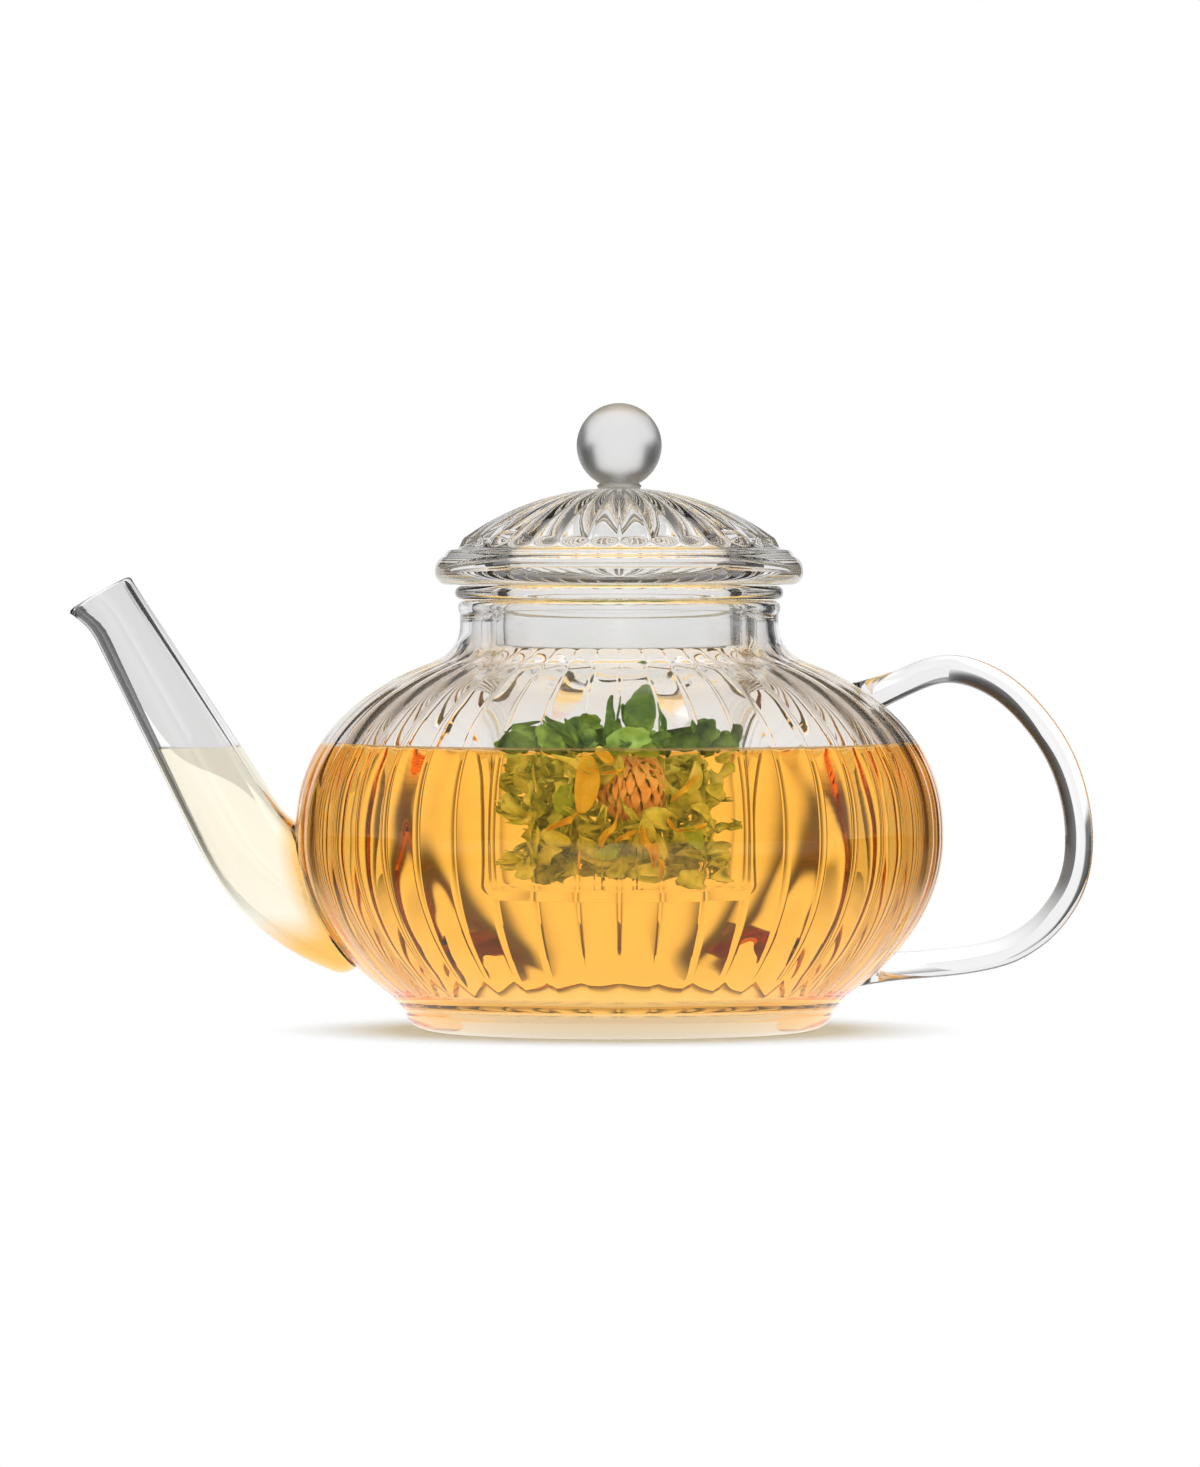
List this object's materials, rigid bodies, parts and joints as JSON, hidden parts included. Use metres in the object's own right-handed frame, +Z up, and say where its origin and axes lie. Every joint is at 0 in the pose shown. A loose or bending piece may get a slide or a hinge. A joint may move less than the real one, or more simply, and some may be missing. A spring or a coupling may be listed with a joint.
{
  "type": "glass teapot",
  "caption": "Clear ribbed glass teapot with a straight spout, a bent-rod handle, a lift-out glass infuser and a petalled lid with a ball knob.",
  "frame": {"origin": "centre of the flat foot, on the surface the pot stands on", "axes": "+Z up along the pot's axis, +X towards the handle, the spout along -X"},
  "size_m": [0.2407, 0.1524, 0.1473],
  "materials": {
    "pot_glass": "polished",
    "infuser_glass": "polished",
    "lid_glass": "polished"
  },
  "bodies": {
    "pot": {"pot_bowl": "pot_glass", "pot_shoulder": "pot_glass", "spout": "pot_glass", "handle": "pot_glass"},
    "infuser": {"infuser": "infuser_glass"},
    "lid": {"lid_dome": "lid_glass", "lid_skirt": "lid_glass", "knob": "lid_glass"}
  },
  "joints": [
    {"name": "infuser_lift", "type": "slide", "parent": "pot", "child": "infuser", "axis": [0, 0, 1], "range_m": [0, 0.075]},
    {"name": "lid_lift", "type": "slide", "parent": "infuser", "child": "lid", "axis": [0, 0, 1], "range_m": [0, 0.04]}
  ]
}
